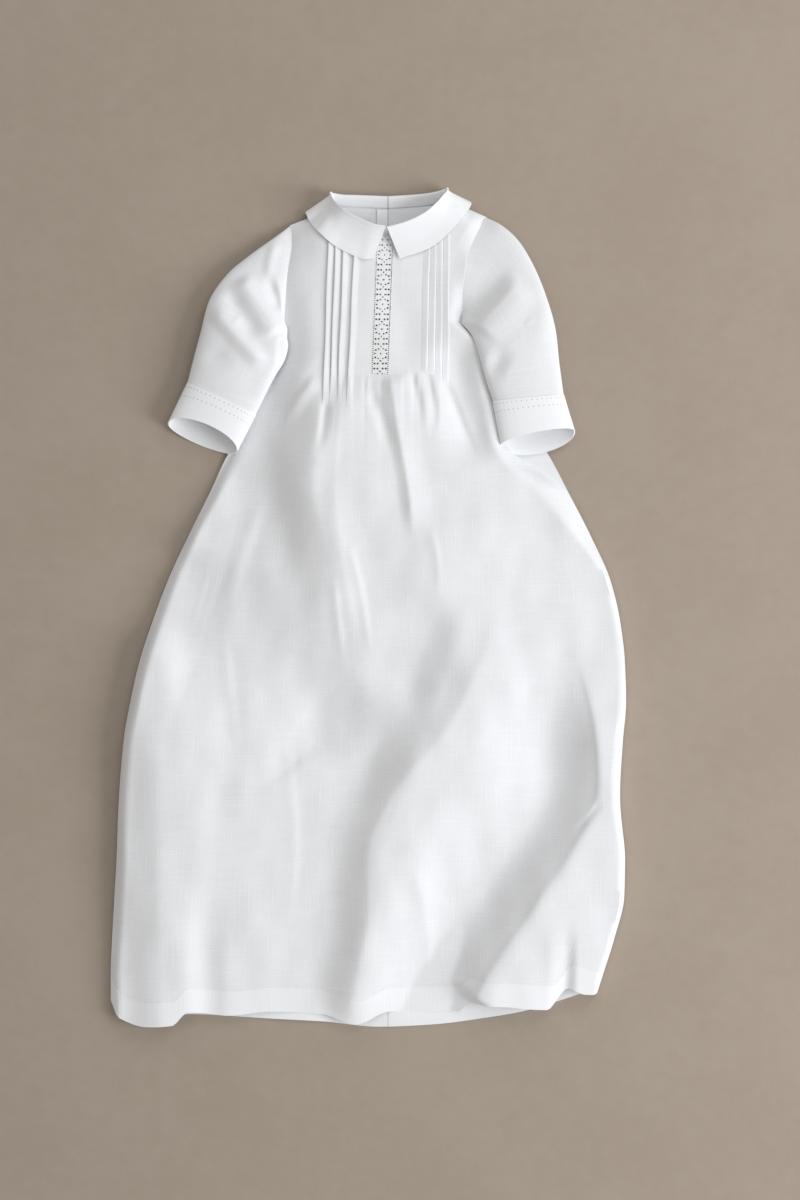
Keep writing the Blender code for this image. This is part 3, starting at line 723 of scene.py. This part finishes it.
# ------------------------------
# The lace. A narrow strip of white cotton insertion: round flowers in turn with crosses between
# two straight edges, with small open holes round each of them. It is let in down the yoke.
LACE_COLUMNS = 34
LACE_ROWS = 280
MOTIF_PITCH = 23.6
MOTIF_START = 114.0  # from the seam to the middle of the top flower
FLOWER_PETALS = 8
PETAL_RISE = 0.2
PETAL_REACH, BAR_REACH, BAR_HALF, LACE_BORDER = 4.6, 4.8, 0.9, 8.0
LACE_WALL = 0.55
LACE_SHADE = (0.82, 0.825, 0.83)
LACE_WHITE = (0.93, 0.935, 0.94)
# x from the lace's middle, y from the motif's middle, radius of a hole
FLOWER_HOLES = (
    (0.0, 0.0, 0.5), (4.9, 3.5, 0.6), (4.9, -3.5, 0.6), (2.2, 4.6, 0.42), (2.2, -4.6, 0.42), (5.6, 0.0, 0.5),
)
CROSS_HOLES = ((2.5, 2.5, 0.6), (2.5, -2.5, 0.6), (5.4, 2.4, 0.6), (5.4, -2.4, 0.6), (0.0, 4.9, 0.5))
EDGE_HOLE = (7.35, 1.9, 0.3)  # x from the middle, pitch and radius of the row along each edge


def lace_spot(x, y):
    """Place in the lace: across from its middle, and up from the middle of the nearest flower and cross."""
    across = x - curve(LACE_CENTRE)(y)
    up = y - SEAM_Y - MOTIF_START
    flower = (up + MOTIF_PITCH / 2) % MOTIF_PITCH - MOTIF_PITCH / 2
    cross = up % MOTIF_PITCH - MOTIF_PITCH / 2
    return across, flower, cross


def lace_hole(x, y):
    across, flower, cross = lace_spot(x, y)
    hole = np.zeros_like(x, bool)
    for up, holes in ((flower, FLOWER_HOLES), (cross, CROSS_HOLES)):
        for hole_x, hole_y, radius in holes:
            hole |= np.hypot(np.abs(across) - hole_x, up - hole_y) < radius
            hole |= np.hypot(np.abs(across) - hole_x, up + hole_y) < radius
    edge_x, pitch, radius = EDGE_HOLE
    hole |= np.hypot(np.abs(across) - edge_x, (y % pitch) - pitch / 2) < radius
    return hole


def lace_relief(x, y):
    across, flower, cross = lace_spot(x, y)
    away, turn = np.hypot(across, flower), np.arctan2(flower, across)
    petals = 0.5 + 0.5 * np.cos(FLOWER_PETALS * turn)
    petals = petals * smooth((PETAL_REACH - away) / 0.8) * smooth((away - 0.9) / 0.6)
    bars = smooth((BAR_HALF - np.minimum(np.abs(across - cross), np.abs(across + cross))) / 0.6)
    bars *= smooth((BAR_REACH - np.hypot(across, cross)) / 0.8)
    edges = smooth((0.8 - np.abs(np.abs(across) - LACE_BORDER)) / 0.5)
    return PETAL_RISE * (petals + 0.7 * bars + 0.6 * edges)


def lace_finish():
    made = Finish("cotton_lace", CLOTH_ROUGH)
    thread = made.node("ShaderNodeUVMap", {"uv_map": "threads"})
    twist = made.grain(thread, 1500.0, detail=4.0)
    made.colour(made.blend(twist.step(0.35, 0.65), LACE_SHADE, LACE_WHITE))
    made.bump(twist, 0.00025, 0.8)
    return made.material


lace_place = strip(lace_edge(-1), lace_edge(1), LACE_COLUMNS, LACE_ROWS, lace_relief)
cotton_lace = lace_finish()
lace = cloth(
    "lace_strip", LACE_COLUMNS, LACE_ROWS, lace_place, cotton_lace, wall=LACE_WALL,
    keep=lambda column, row: ~lace_hole(*lace_place(column, row)[:2]),
)
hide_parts("lace_insertion")

# ------------------------------
# The pin tucks. Four narrow stitched folds on each side of the yoke, pressed towards the
# armholes. Each is a flap that stands at its folded edge and runs down to its stitched line.
TUCK_WIDTH = 5.6
TUCK_COLUMNS = 9
TUCK_ROWS = 60
TUCK_WALL = 0.45
TUCK_CROWD = 1.6  # how far the columns crowd to the folded edge
# A tuck's stitched line: x at the collar, y there, x at its foot, y there, and how long it fades.
TUCKS = {
    "left": (
        (-38.5, 349, -43.8, 186, 44), (-31.5, 350, -37.3, 192, 44),
        (-24, 345, -29.9, 196, 40), (-14, 341, -21.2, 186, 48),
    ),
    "right": (
        (53, 344, 50.2, 226, 3), (59.2, 347.5, 57.2, 226, 3),
        (65.4, 352, 64.2, 218, 10), (71.6, 357, 71, 212, 12),
    ),
}
# share of the width from the folded edge, height over the panel
TUCK_PROFILE = ((0.0, 0.7), (0.03, 1.5), (0.10, 2.05), (0.22, 2.0), (0.5, 1.45), (0.8, 0.85), (1.0, 0.55))
TUCK_HEIGHT = {"left": 0.9, "right": 0.36}

tuck_profile = curve(TUCK_PROFILE)
for side, lines in TUCKS.items():
    for number, (top_x, top_y, foot_x, foot_y, fade) in enumerate(lines, 1):

        def tuck_place(column, row):
            share = column / TUCK_COLUMNS
            share = share**TUCK_CROWD if side == "left" else 1 - (1 - share) ** TUCK_CROWD
            up = row / TUCK_ROWS
            y = between(foot_y, top_y, up)
            width = TUCK_WIDTH * (1 + 0.03 * np.sin(y / 9.0 + number))
            x = between(foot_x, top_x, up) + share * width
            x += 0.25 * np.sin(y / 14.0 + 2 * number)
            from_fold = share if side == "left" else 1 - share
            stands = TUCK_HEIGHT[side] * between(0.03, 1.0, smooth((y - foot_y) / fade))
            z = front_height(x, y) + tuck_profile(from_fold) * stands
            return x, y, z, x, y, {}

        name = f"tuck_{side}_{number}"
        tuck = cloth(name, TUCK_COLUMNS, TUCK_ROWS, tuck_place, plain_linen, wall=TUCK_WALL)
        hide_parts(f"pin_tuck_{side}_{number}")

# ------------------------------
# The stitches. Small straight stitches of white cotton thread that hold the front's turned-up
# hem along its upper edge, and the seam where the skirt's gathers join the yoke.
STITCH = (1.9, 0.42, 0.30)  # length, width and height
STITCH_PITCH = 3.1
STITCH_UP = 0.1  # how far a stitch's middle stands over the cloth
YOKE_STITCH_UP = 1.0  # from the gathering seam


def thread_finish():
    made = Finish("white_thread", 0.8)
    twist = made.grain(made.node("ShaderNodeTexCoord", output=3), 2600.0, detail=2.0)
    made.colour(made.blend(twist.step(0.35, 0.65), SINGLE_LAYER, DOUBLE_LAYER))
    made.bump(twist, 0.0001, 0.5)
    return made.material


def stitches(name, path, material):
    """A row of stitches along a path of points, in millimetres."""
    path = np.array(path)
    walked = np.concatenate([[0.0], np.cumsum(np.linalg.norm(np.diff(path, axis=0), axis=1))])

    def at(distance):
        return Vector([float(np.interp(distance, walked, path[:, axis])) for axis in range(3)])

    row = bmesh.new()
    for start in np.arange(STITCH_PITCH, walked[-1] - STITCH_PITCH, STITCH_PITCH):
        first, last = at(start), at(start + STITCH[0])
        turn = (last - first).to_track_quat("X", "Z").to_matrix().to_4x4()
        size = Matrix.Diagonal((*(side * MM for side in STITCH), 1.0))
        spot = (first + last) / 2 + Vector((0.0, 0.0, STITCH_UP))
        bmesh.ops.create_cube(row, size=1.0, matrix=Matrix.Translation(spot * MM) @ turn @ size)
    made = placed(name, meshed(name, row, material))
    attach(made, "root")


white_thread = thread_finish()
hem_columns = np.linspace(1.0, sum(FRONT_ZONES) - 1.0, 900)
hem_foot = front_place(hem_columns, np.zeros_like(hem_columns))
hem_rows = ROWS_BELOW * HEM_DEPTH / (SEAM_Y - front_hem(hem_foot[0]))
stitches("hem_stitches", np.column_stack(front_place(hem_columns, hem_rows)[:3]), white_thread)
seam_x = np.linspace(YOKE_SIDES[0][1][0] + 1.0, YOKE_SIDES[1][1][0] - 1.0, 200)
seam_y = np.full_like(seam_x, SEAM_Y + YOKE_STITCH_UP)
stitches("yoke_stitches", np.column_stack([seam_x, seam_y, front_height(seam_x, seam_y)]), white_thread)

# ------------------------------
# The back. Two panels of linen that meet at the centre back and lie flat on the board, with the
# same hem as the front, and a narrow facing inside the opening below the neck.
BACK_COLUMNS = 40
BACK_ROWS = 130
BACK_ROWS_ABOVE = 36
BACK_INSET = 1.6
BACK_LIFT = 0.15
BACK_WAVE = 0.9
CENTRE_BACK = 18.7
UNDERARM = 275.0
PLACKET = (8.2, 18.3)
PLACKET_LEVELS = (268.0, 382.8)
PLACKET_LIFT = 1.5
PLACKET_GRID = (6, 60)


def back_wave(x, y):
    """The back's small waves along its hem."""
    near = smooth((y + 400) / 6) * smooth((-300 - y) / 60) * smooth((x + 215) / 40) * smooth((190 - x) / 40)
    return near * (BACK_WAVE + BACK_WAVE * np.sin(x / 17.0 + 0.6 * np.sin(x / 31.0)))


def back_half(side):
    def place(column, row):
        sign, foot_end = (1, FRONT_HEM[0][0]) if side == "left" else (-1, FRONT_HEM[-1][0])
        share = column / BACK_COLUMNS if sign > 0 else 1 - column / BACK_COLUMNS
        centre = CENTRE_BACK - sign * SEAM / 2
        foot_x = between(foot_end, centre, share)
        top = back_top(between(ARMHOLES[side][0][0], centre, share))
        below = between(back_hem(foot_x), UNDERARM, row / BACK_ROWS)
        y = np.where(row <= BACK_ROWS, below, between(UNDERARM, top, (row - BACK_ROWS) / BACK_ROWS_ABOVE))
        x = between(side_edge(side, y) + sign * BACK_INSET, centre, share)
        z = back_floor(y) + CLOTH + BACK_LIFT + back_wave(x, y)
        return x, y, z, x, y, {"hem": y - back_hem(foot_x)}

    return place


for side in SIDES:
    rows = BACK_ROWS + BACK_ROWS_ABOVE
    half = cloth(f"back_half_{side}", BACK_COLUMNS, rows, back_half(side), hemmed_linen)
    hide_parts(f"back_{side}")


def placket_place(column, row):
    x = between(PLACKET[0], PLACKET[1], column / PLACKET_GRID[0])
    y = between(PLACKET_LEVELS[0], PLACKET_LEVELS[1], row / PLACKET_GRID[1])
    z = back_floor(y) + CLOTH + PLACKET_LIFT
    return x, y, z, x, y, {}


doubled_linen = linen("doubled_linen", doubled=1.0)
facing = cloth("placket_facing", *PLACKET_GRID, placket_place, doubled_linen)
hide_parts("back_placket")

# ------------------------------
# The sleeves. Each is one piece of single linen sewn into a tube and set into its armhole. It
# keeps some air, so its top stands over its underside and breaks into folds at the elbow.
RING = 100
SLEEVE_ROWS = 84
# outer x, outer y, inner x, inner y, height of the sides, crown, underside
SLEEVES = {
    "left": (
        (-92, 354, -80, 273.5, 6, 13, 0),
        (-114, 337.8, -77.5, 268.5, 8, 15, 0),
        (-135, 319.6, -77.5, 259, 9.5, 18.5, 0),
        (-151.6, 295, -76.6, 250, 11, 22.5, 0),
        (-160, 264, -80.5, 236, 11.5, 26, 0),
        (-167, 238, -91, 218.5, 11.5, 25, 0),
        (-172.8, 215.2, -107.9, 184.7, 11.5, 23.6, 0.4),
    ),
    "right": (
        (128, 366.6, 89.5, 272, 6, 15.5, 0.5),
        (143.6, 351.4, 93.5, 268, 9.5, 17.5, 1.4),
        (157.6, 327.6, 98, 262, 12, 20.5, 2.6),
        (169, 299.5, 102, 253, 13.5, 25, 3.8),
        (178, 268, 106, 240.5, 14.5, 27, 4.2),
        (182, 234, 111, 221.5, 14.5, 27, 4.2),
        (186.2, 202.9, 119, 197, 14.5, 25.6, 4.6),
    ),
}
SLEEVE_FOLDS = {
    "left": {
        "elbow ridge": (((-122, 318), (-111, 299), (-96, 279), (-84, 262)), 20, 14, 4.6, 12, 8, 0.2),
        "armhole hollow": (((-97, 318), (-90, 300), (-84, 284)), 10, 8, -3.0, 14, 10, 0.1),
        "inner edge": (((-82, 265), (-87, 255), (-88, 240), (-91, 225), (-105, 192)), 16, 5, 1.6, 8, 20, 0.7),
        "forearm ridge": (((-152, 290), (-131, 267), (-109, 243), (-95, 230)), 14, 12, 4.4, 20, 16, 0.2),
        "elbow hollow": (((-136, 304), (-118, 277), (-105, 255)), 12, 15, -2.6, 16, 16, 0),
        "outer hollow": (((-148, 258), (-143, 240), (-139, 222)), 20, 18, -1.8, 20, 24, 0),
        "nick": (((-120, 281), (-128, 268)), 5, 4, 1.1, 6, 6, 0.4),
        "cap": (((-88, 352), (-94, 330), (-96, 312)), 8, 8, 1.4, 10, 14, 0.2),
    },
    "right": {
        "elbow hollow": (((134, 326), (120, 305), (106, 288), (94, 271)), 24, 15, -2.4, 24, 9, 0),
        "elbow ridge": (
            ((150, 315), (138, 304), (122, 287), (110, 275), (101, 263)), 20, 32, 4.6, 20, 9, 0.2,
        ),
        "forearm hollow": (((134, 250), (122, 232), (117, 212)), 14, 14, -2.8, 20, 20, 0.1),
        "nick": (((148, 270), (158, 275)), 3, 3, 0.9, 4, 4, 0.5),
        "outer swell": (((172, 300), (166, 270), (160, 240)), 18, 16, 1.2, 20, 30, 0.0),
    },
}
SLEEVE_WAVE = 0.45
UNDERSIDE = 0.9  # how full the underside of a tube is
ROUND = 2.15  # length round a tube over its width
TUBE_FLATNESS = {"left": 0.72, "right": 0.55}


def ring_points(station, turn, side, slant=(0.0, 0.0)):
    """Points of a flattened tube's ring. turn runs from 0 at the outer side, over the top."""
    flatness = TUBE_FLATNESS[side]
    outer, inner = np.array(station[:2], float), np.array(station[2:4], float)
    edge_height, crown, base = station[4:]
    lift = np.sin(TURN * turn)
    across = (1 - np.cos(TURN * turn)) / 2
    spot = outer + (inner - outer) * across[:, None]
    top = edge_height + (crown - edge_height) * np.maximum(lift, 0.0) ** flatness
    height = np.where(lift > 0, top, edge_height - (edge_height - base) * np.maximum(-lift, 0.0) ** UNDERSIDE)
    run = np.array((inner[1] - outer[1], outer[0] - inner[0]))
    run /= math.hypot(*run) * (-1 if run[1] > 0 else 1)
    shift = -slant[0] * np.maximum(lift, 0.0) + slant[1] * np.maximum(-lift, 0.0)
    return np.column_stack([spot + run * shift[:, None], height])


def armhole_ring(side, turn):
    sign = 1 if side == "left" else -1
    share = (1 - np.cos(TURN * turn)) / 2
    lift = np.sin(TURN * turn)
    top, foot = ARMHOLES[side][0][1], ARMHOLES[side][-1][1]
    y = between(top, foot, share)
    x = side_edge(side, y + 1e-6) + sign * SEAM_UNDER
    low_side = ARMHOLE_SIDE * (1 - np.maximum(-lift, 0.0) ** UNDERSIDE)
    height = np.where(lift >= 0, armhole_height(side, share) + back_floor(y) - SEAM_BELOW, low_side)
    return np.column_stack([x, y, height])


def tube_place(side, rings, rows, folds=None, wave=0.0):
    """Places a tube through rings, the last row at the first ring, and lays folds on its upper half."""

    def place(column, row):
        turn = column % RING / RING
        turn = (1 - turn) % 1.0 if side == "right" else turn
        at = between(len(rings) - 1.0, 0.0, row / rows)
        lines = np.array([ring(turn) for ring in rings]).transpose(1, 0, 2)
        before, after = 2 * lines[:, :1] - lines[:, 1:2], 2 * lines[:, -1:] - lines[:, -2:-1]
        padded = np.concatenate([before, lines, after], axis=1)
        i = np.clip(np.floor(at).astype(int), 0, len(rings) - 2)
        pick = np.arange(len(at))
        t = (at - i)[:, None]
        spot = through(*(padded[pick, i + k] for k in range(4)), t)
        x, y, z = spot.T
        lift = np.sin(TURN * turn)
        over = smooth(lift * 2.2)
        ripple = np.zeros_like(x)
        for values in (folds or {}).values():
            ripple += fold(x, y, *values)
        ends = smooth(row / 6) * smooth((rows - row) / 5)
        z = z + (ripple + wave * swells(x, y)) * over * ends
        around = np.where(column == RING, 1.0, column / RING)
        width = math.dist(SLEEVES[side][3][:2], SLEEVES[side][3][2:4])
        return x, y, z, around * ROUND * width, at / (len(rings) - 1) * tube_length(rings), {}

    return place


def tube_length(rings):
    middles = [ring(np.array([0.25]))[0] for ring in rings]
    return sum(math.dist(a, b) for a, b in zip(middles[:-1], middles[1:]))


for side in SIDES:
    rings = [partial(armhole_ring, side)]
    rings += [partial(ring_points, station, side=side) for station in SLEEVES[side]]
    place = tube_place(side, rings, SLEEVE_ROWS, SLEEVE_FOLDS[side], SLEEVE_WAVE)
    sleeve = cloth(f"sleeve_cloth_{side}", RING, SLEEVE_ROWS, place, plain_linen, tube=True, even=False)
    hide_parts(f"sleeve_{side}")

# ------------------------------
# The cuffs. A deep turned-up hem of doubled linen, held by a hemstitch: a few threads are drawn
# out and the rest are tied into bundles, which leaves two rows of small square holes.
CUFF_ROWS = 24
CUFF_WALL = 1.2
CUFFS = {
    "left": (
        (-172.7, 216.3, -107.1, 185.3, 11.5, 24.1, 0),
        (-183, 195, -116.6, 166.8, 11.5, 24, 0),
        (-191.6, 177, -125.3, 149.9, 11, 23.5, 0),
    ),
    "right": (
        (186.5, 203.9, 118.3, 197.7, 14.5, 26.1, 4.2),
        (191.8, 186, 122.2, 176.8, 14.5, 26, 4.2),
        (197, 169.6, 126.2, 155.8, 14, 25.5, 4.2),
    ),
}
# How far a cuff's upper lip is short of its last ring, and how far its lower lip is long.
CUFF_SLANT = {"left": (13.0, 7.0), "right": (5.5, 14.0)}
HOLE_PITCH = 0.0041
HOLE_HALF = 0.00055
HOLE_ROWS = (0.0026, 0.0090)


def hemstitch(made, thread):
    """The two rows of holes, from the thread map: a mask of painted shade, since the holes are not cut."""
    split = made.node("ShaderNodeSeparateXYZ", {}, {"Vector": thread})
    along, down = split, Value(made, split.socket.node.outputs[1])
    beside = (along.modulo(HOLE_PITCH) - HOLE_PITCH / 2).absolute()
    rows = [
        beside.larger((down - level).absolute()).step(HOLE_HALF, HOLE_HALF * 0.7)
        for level in HOLE_ROWS
    ]
    return rows[0] + rows[1]


stitched_linen = linen("hemstitched_linen", doubled=1.0, painted_holes=hemstitch)
for side in SIDES:
    stations = CUFFS[side]
    rings = []
    for number, station in enumerate(stations):
        slant = [reach * number / (len(stations) - 1) for reach in CUFF_SLANT[side]]
        rings.append(partial(ring_points, station, side=side, slant=slant))
    place = tube_place(side, rings, CUFF_ROWS)
    cuff = cloth(f"cuff_cloth_{side}", RING, CUFF_ROWS, place, stitched_linen, wall=CUFF_WALL, tube=True)
    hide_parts(f"cuff_{side}")

# ------------------------------
# The collar. Two halves of doubled linen, each with its neckband: the band stands up from the
# neck seam, and the fall turns over it and lies on the front, or under the neck at the back.
COLLAR_ROWS = 110
COLLAR_COLUMNS = 30
COLLAR_WALL = 1.2
COLLAR_LIES = {"left": 2.2, "right": 3.3}
COLLAR_SEAM_OUT = 2.4
COLLAR_STAND = {"left": 14.0, "right": 9.0}
COLLAR_BACK_ROLL = 7.2
COLLAR_BACK_SEAM = 9.4
COLLAR_SHOULDER_GAP = 4.0
COLLAR_BACK_LEVEL = 3.1
COLLAR_LOWEST = 0.35
COLLAR_STEP = 1.6  # cloth from one column to the next
# roll x, roll y, edge x, edge y, turn: 0 where the fall lies on the front, 1 where underneath
COLLARS = {
    "left": (
        (16.9, 362.8, 5.4, 333.6, 0), (5.1, 365, -5, 333.2, 0), (-7.8, 370.4, -18.6, 338.6, 0),
        (-20.6, 377, -33.5, 346.8, 0), (-28.6, 383.4, -47, 358.8, 0), (-31.6, 387, -52, 364.4, 0),
        (-33.8, 391, -56.4, 370.6, 0), (-35.2, 394.6, -59.2, 376.8, 0.2), (-35.8, 396.8, -60.4, 380, 0.5),
        (-34.6, 397.2, -58, 380.8, 1),
        (-25, 395.6, -44, 371, 1), (-9, 394.9, -14, 366, 1), (18.4, 393.8, 18.3, 364.8, 1),
    ),
    "right": (
        (17.7, 362.8, 30, 333.4, 0), (29.5, 365.8, 40.4, 337, 0), (42.3, 370.4, 55.2, 342, 0),
        (55, 377.4, 68.6, 350.4, 0), (64.2, 385.2, 81.2, 362.4, 0), (68.4, 390, 87.8, 369.8, 0),
        (71.8, 394.8, 93.2, 377.4, 0), (74.6, 398.8, 97.6, 384.8, 0.2), (75.8, 400.8, 98.6, 388.6, 0.5),
        (74.2, 401.2, 96.6, 389.6, 1),
        (64, 398, 80, 376, 1), (48, 395.6, 52, 367.4, 1), (19, 393.8, 19.1, 364.8, 1),
    ),
}
# share of the fall's depth and of its drop on the front, then underneath: depth, bulge, drop
FALL = (
    (0.0, 0.0, 0.0, 0.0, 0.0),
    (0.13, 0.16, 0.0, 1.3, 0.5),
    (0.34, 0.5, 0.05, 0.3, 1.0),
    (0.65, 0.85, 0.5, 0.0, 1.0),
    (1.0, 1.0, 1.0, 0.0, 1.0),
)
COLLAR_WAVE = {"left": 1.1, "right": 0.35}
COLLAR_SLOPE = {"left": 0.8, "right": 1.0}  # below 1 the fall drops sooner after the roll


def collar_lines(side):
    """The six lines that run along a collar half, from the neck seam to the outer edge."""
    stations = np.array(COLLARS[side])
    at = np.linspace(0, len(stations) - 1, COLLAR_ROWS + 1)
    roll, edge = spline(stations[:, :2], at), spline(stations[:, 2:4], at)
    turn = curve([(k, row[4]) for k, row in enumerate(COLLARS[side])])(at)[:, None]
    out = edge - roll
    unit = out / np.hypot(*out.T)[:, None]
    level = front_height(*(roll + 0.4 * out).T, folded=False)
    seam_front = np.column_stack([roll + unit * COLLAR_SEAM_OUT, level + CLOTH])
    back_level = np.full(len(at), COLLAR_BACK_LEVEL)
    seam_back = np.column_stack([roll[:, 0], roll[:, 1] - COLLAR_BACK_SEAM, back_level])
    lines = [between(seam_front, seam_back, turn)]
    for share, drop, back_share, bulge, back_drop in FALL:
        spot = roll + out * share
        inside = np.minimum(spot[:, 1], shoulder_line(spot[:, 0]) - COLLAR_SHOULDER_GAP)
        lying = front_height(spot[:, 0], inside, folded=False) + COLLAR_LIES[side]
        wave = COLLAR_WAVE[side] * share * np.sin(at * 1.9 + 0.8) * smooth(at / 2)
        height = between(level + COLLAR_STAND[side], lying, drop ** COLLAR_SLOPE[side])
        front_line = np.column_stack([spot, height + np.maximum(wave, -0.2)])
        under = roll + out * back_share - unit * bulge
        back_line = np.column_stack([under, np.full(len(at), between(COLLAR_BACK_ROLL, 0.0, back_drop))])
        lines.append(between(front_line, back_line, turn))
    return np.array(lines)


for side in SIDES:
    lines = spline(collar_lines(side), np.linspace(0, len(FALL), COLLAR_COLUMNS + 1))
    steps = np.diff(lines[:, :, :2], axis=1, prepend=lines[:, :1, :2])
    spans = np.cumsum(np.hypot(*steps.transpose(2, 0, 1)), axis=1)

    def collar_place(column, row):
        along = row.astype(int)
        along = along if side == "right" else COLLAR_ROWS - along
        x, y, z = lines[column.astype(int), along].T
        return x, y, np.maximum(z, COLLAR_LOWEST), spans[COLLAR_COLUMNS // 2, along], column * COLLAR_STEP, {}

    collar = cloth(
        f"collar_half_{side}", COLLAR_COLUMNS, COLLAR_ROWS, collar_place, doubled_linen,
        wall=COLLAR_WALL, even=False,
    )
    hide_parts(f"collar_{side}")
